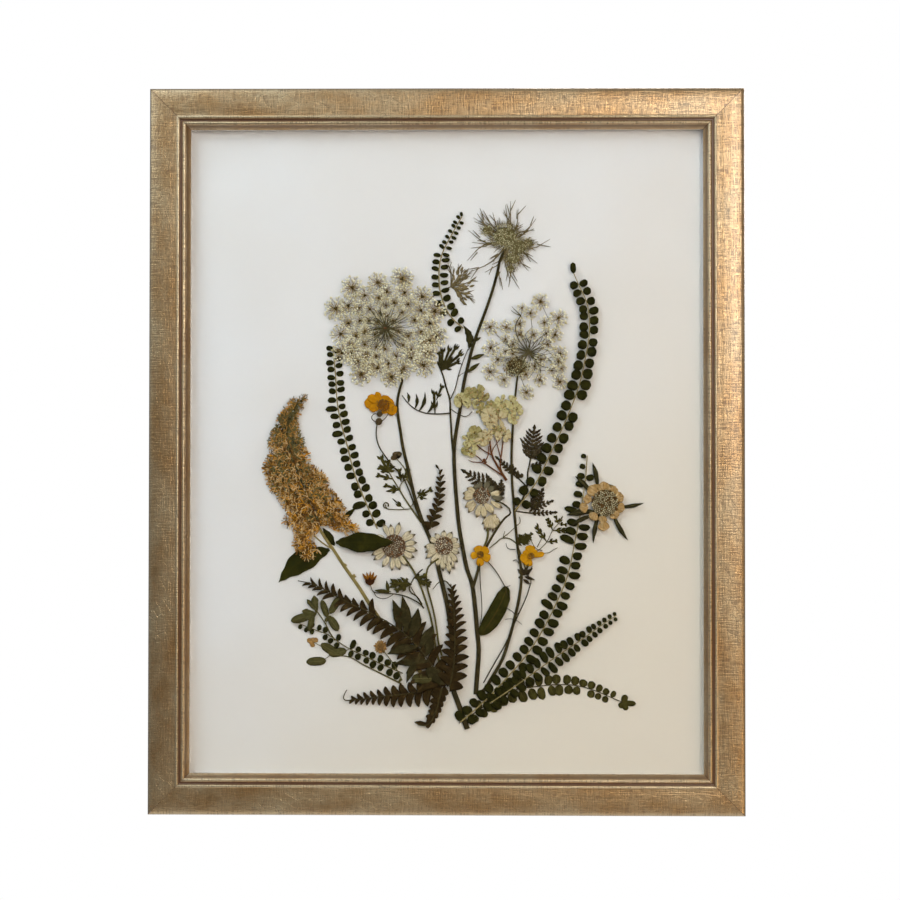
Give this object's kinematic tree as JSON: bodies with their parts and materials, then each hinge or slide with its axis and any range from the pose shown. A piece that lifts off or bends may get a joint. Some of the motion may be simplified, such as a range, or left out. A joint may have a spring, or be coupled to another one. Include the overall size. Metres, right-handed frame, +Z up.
{
  "type": "pressed flower frame",
  "caption": "Upright gilt wooden picture frame with pressed flowers, ferns and leaves on an off-white card behind clear glass; hangs on a wall by a sawtooth hanger.",
  "frame": {"origin": "middle of the sawtooth hanger's back plate, in the plane of the wall", "axes": "+Z up along the frame's long side, -Y out of the picture towards the viewer, +X to the viewer's right"},
  "size_m": [0.464, 0.0226, 0.566],
  "materials": {
    "gilt_wood": "antique gold leaf over wood, woven texture with fine cracks, satin and worn",
    "clear_glass": "clear polished picture glass",
    "card_paper": "off-white matt mount card",
    "spacer_board": "matt white spacer strip",
    "hardboard": "brown pressed board, smooth face",
    "zinc_steel": "zinc plated sheet steel",
    "bumper_felt": "dark felt",
    "umbel_florets": "dried cream lace florets on fine rays",
    "bud_bracts": "dried grey-green bristly bracts",
    "brown_stem": "dried brown-olive stem",
    "pale_stem": "dried pale olive stem",
    "dark_green_leaf": "pressed leaf, very dark green",
    "olive_leaf": "pressed leaf, olive green",
    "grey_leaf": "pressed leaf, grey-green",
    "brown_fern": "pressed fern, brown-black",
    "goldenrod_florets": "dried ochre floret plume, matt and crumbly",
    "orange_petal": "pressed orange petals",
    "yellow_petal": "pressed yellow petals",
    "cream_bract": "pressed cream bracts round a speckled head",
    "hydrangea_floret": "papery cream florets with brown veins",
    "red_stalk": "dried red-brown stalk",
    "scabious_head": "pressed peach petals round a seed disc",
    "tan_floret": "dried tan floret"
  },
  "bodies": {
    "root": {"rail_top": "gilt_wood", "rail_bottom": "gilt_wood", "rail_left": "gilt_wood", "rail_right": "gilt_wood", "glass": "clear_glass", "spacer": "spacer_board", "card": "card_paper", "backing_board": "hardboard", "point_top": "zinc_steel", "point_bottom": "zinc_steel", "point_left": "zinc_steel", "point_right": "zinc_steel", "sawtooth_hanger": "zinc_steel", "hanger_nail_left": "zinc_steel", "hanger_nail_right": "zinc_steel", "bumper_left": "bumper_felt", "bumper_right": "bumper_felt", "lace_umbel_left": "umbel_florets", "lace_umbel_right": "umbel_florets", "lace_umbel_left_stem": "brown_stem", "lace_umbel_right_stem": "brown_stem", "lace_bud": "bud_bracts", "lace_bud_small": "bud_bracts", "leafy_twig_left": "dark_green_leaf", "button_fern_top": "dark_green_leaf", "button_fern_left": "dark_green_leaf", "button_fern_tall": "dark_green_leaf", "button_fern_long": "dark_green_leaf", "button_fern_slanting": "dark_green_leaf", "button_fern_low": "olive_leaf", "goldenrod_plume": "goldenrod_florets", "goldenrod_stem": "pale_stem", "goldenrod_leaf_left": "dark_green_leaf", "goldenrod_leaf_right": "dark_green_leaf", "orange_flower": "orange_petal", "cut_leaf_left": "olive_leaf", "fern_small": "brown_fern", "fern_upright": "brown_fern", "fern_slanting": "brown_fern", "fern_level": "brown_fern", "fern_drooping": "brown_fern", "hydrangea_florets": "hydrangea_floret", "hydrangea_stalks": "red_stalk", "dark_leaf_spray": "brown_fern", "dark_leaf_behind": "brown_fern", "feathery_leaf": "olive_leaf", "masterwort_left": "cream_bract", "masterwort_centre": "cream_bract", "masterwort_right": "cream_bract", "masterwort_low": "cream_bract", "buttercup_left": "yellow_petal", "buttercup_right": "yellow_petal", "scabious": "scabious_head", "lance_leaf": "olive_leaf", "round_leaf_sprig": "grey_leaf", "dark_leaf_sprig": "dark_green_leaf", "long_leaf_sprig": "tan_floret", "tan_flower": "tan_floret", "centre_twig": "olive_leaf"}
  },
  "joints": []
}
